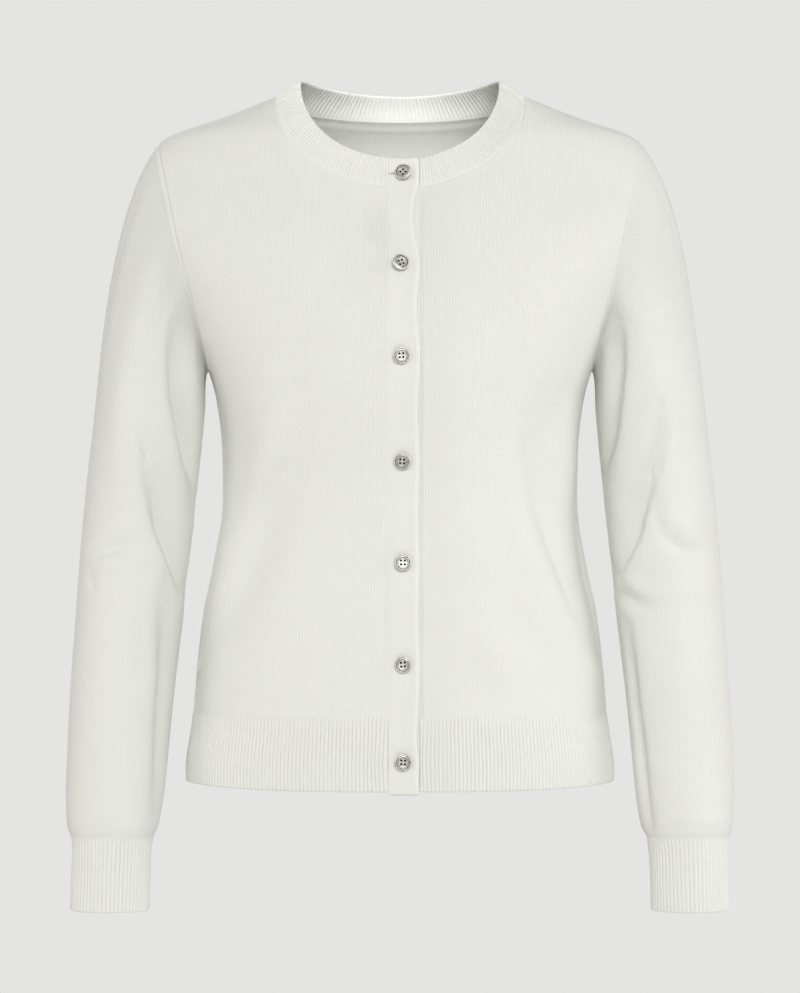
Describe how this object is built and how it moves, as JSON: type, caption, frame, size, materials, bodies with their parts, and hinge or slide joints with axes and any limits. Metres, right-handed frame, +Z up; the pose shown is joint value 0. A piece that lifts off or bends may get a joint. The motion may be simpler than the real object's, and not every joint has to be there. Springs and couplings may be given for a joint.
{
  "type": "button cardigan, filled out in its worn form",
  "caption": "Fine-knit crew-neck button cardigan with long set-in sleeves, smooth front bands, and a ribbed neckband, hem and cuffs, as if worn by nobody.",
  "frame": {"origin": "between the shoulder seams' neck ends, level with the highest part of the shoulders, where a wearer holds the garment up", "axes": "+Z up; the front faces -Y; +X towards the sleeve for the wearer's left arm"},
  "size_m": [0.5236, 0.2123, 0.653],
  "materials": {
    "wool": "matte",
    "rib": "matte",
    "metal": "satin"
  },
  "bodies": {
    "root": {"back": "wool", "front_right": "wool", "front_left": "wool", "hem_back": "rib", "hem_front_right": "rib", "hem_front_left": "rib", "sleeve_right": "wool", "sleeve_left": "wool", "cuff_right": "rib", "cuff_left": "rib", "neckband": "rib", "buttonhole_band": "wool", "button_band": "wool", "button_1": "metal", "button_2": "metal", "button_3": "metal", "button_4": "metal", "button_5": "metal", "button_6": "metal", "button_7": "metal"}
  },
  "joints": []
}
